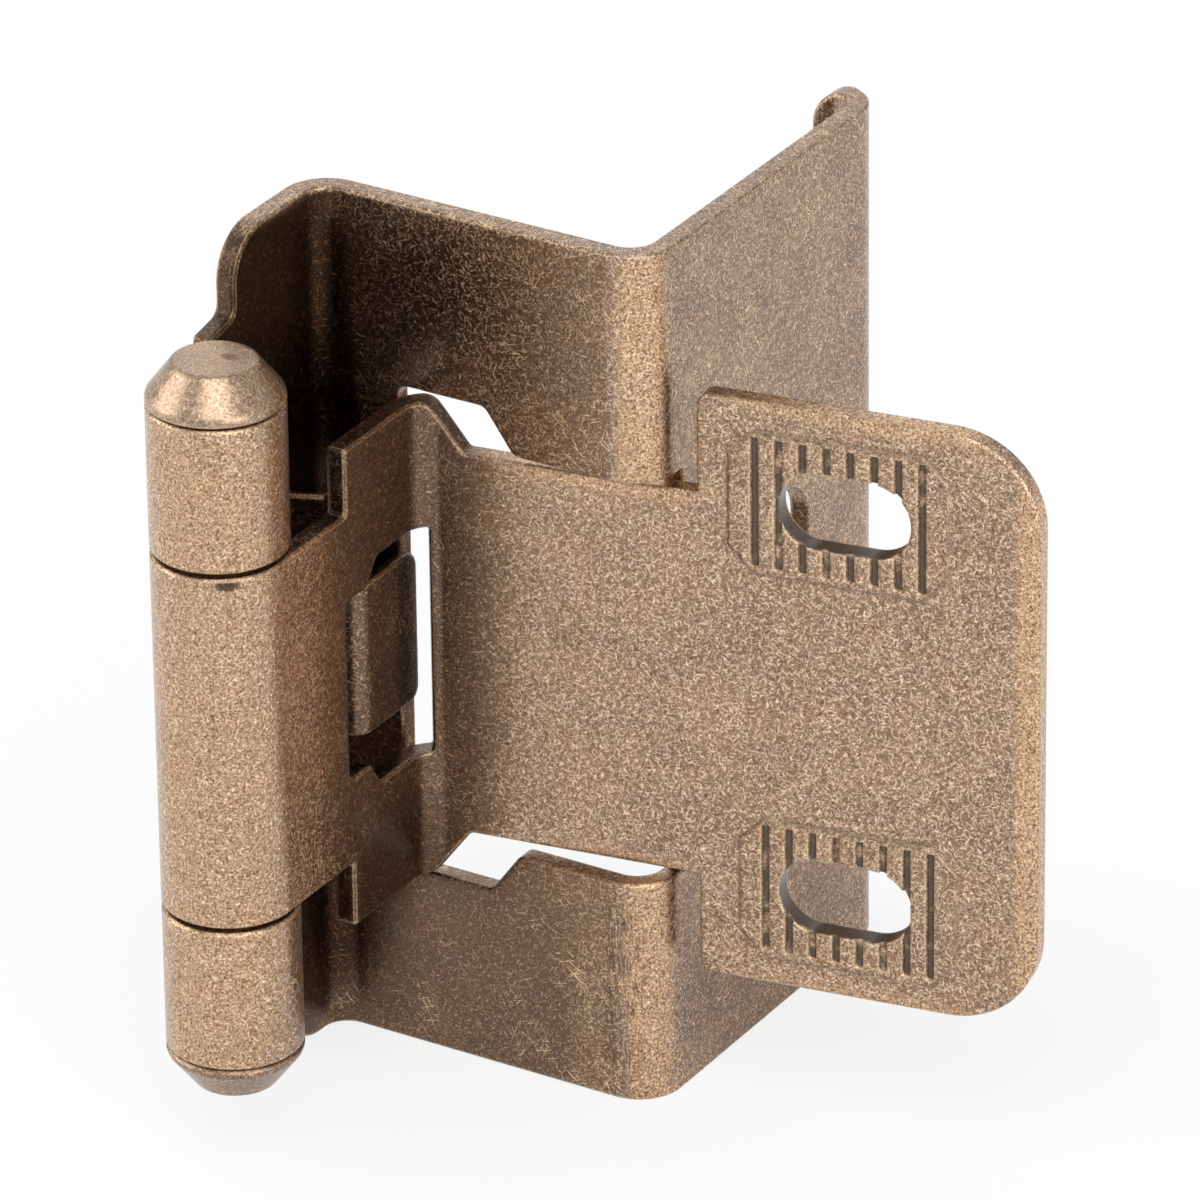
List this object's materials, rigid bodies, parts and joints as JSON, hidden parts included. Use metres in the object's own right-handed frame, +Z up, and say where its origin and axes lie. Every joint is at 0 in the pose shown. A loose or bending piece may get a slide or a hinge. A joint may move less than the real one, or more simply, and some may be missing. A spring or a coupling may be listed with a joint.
{
  "type": "full wrap cabinet hinge",
  "caption": "Self-closing full wrap cabinet hinge with a folded frame leaf, a slotted door leaf, a rolled barrel on a capped pin and a spring tongue, in an antique brass finish.",
  "frame": {"origin": "on the frame leaf's web, at the back face that lies against the front of the face frame, behind the pin's axis and at mid-height", "axes": "+X across the face frame towards the cabinet's opening, +Y into the cabinet, +Z up along the pin"},
  "size_m": [0.0361, 0.0366, 0.0434],
  "materials": {
    "frame_leaf": "antique brass plating on steel, mottled and rubbed bright on bends and edges",
    "door_leaf": "antique brass plating on steel, mottled and rubbed bright on bends and edges",
    "hinge_pin": "antique brass plating on steel, rubbed pale on the flat of the head",
    "pin_tip": "antique brass plating on steel, rubbed pale",
    "closing_spring": "antique brass plating on spring steel, darker in the shade"
  },
  "bodies": {
    "frame": {"frame_leaf": "frame_leaf", "hinge_pin": "hinge_pin", "pin_tip": "pin_tip"},
    "door": {"door_leaf": "door_leaf", "closing_spring": "closing_spring"}
  },
  "joints": [
    {"name": "door_swing", "type": "hinge", "parent": "frame", "child": "door", "pos_m": [0, -0.01308, 0], "axis": [0, 0, -1], "range_deg": [0, 180], "stiffness_Nm_per_rad": 0.02}
  ]
}
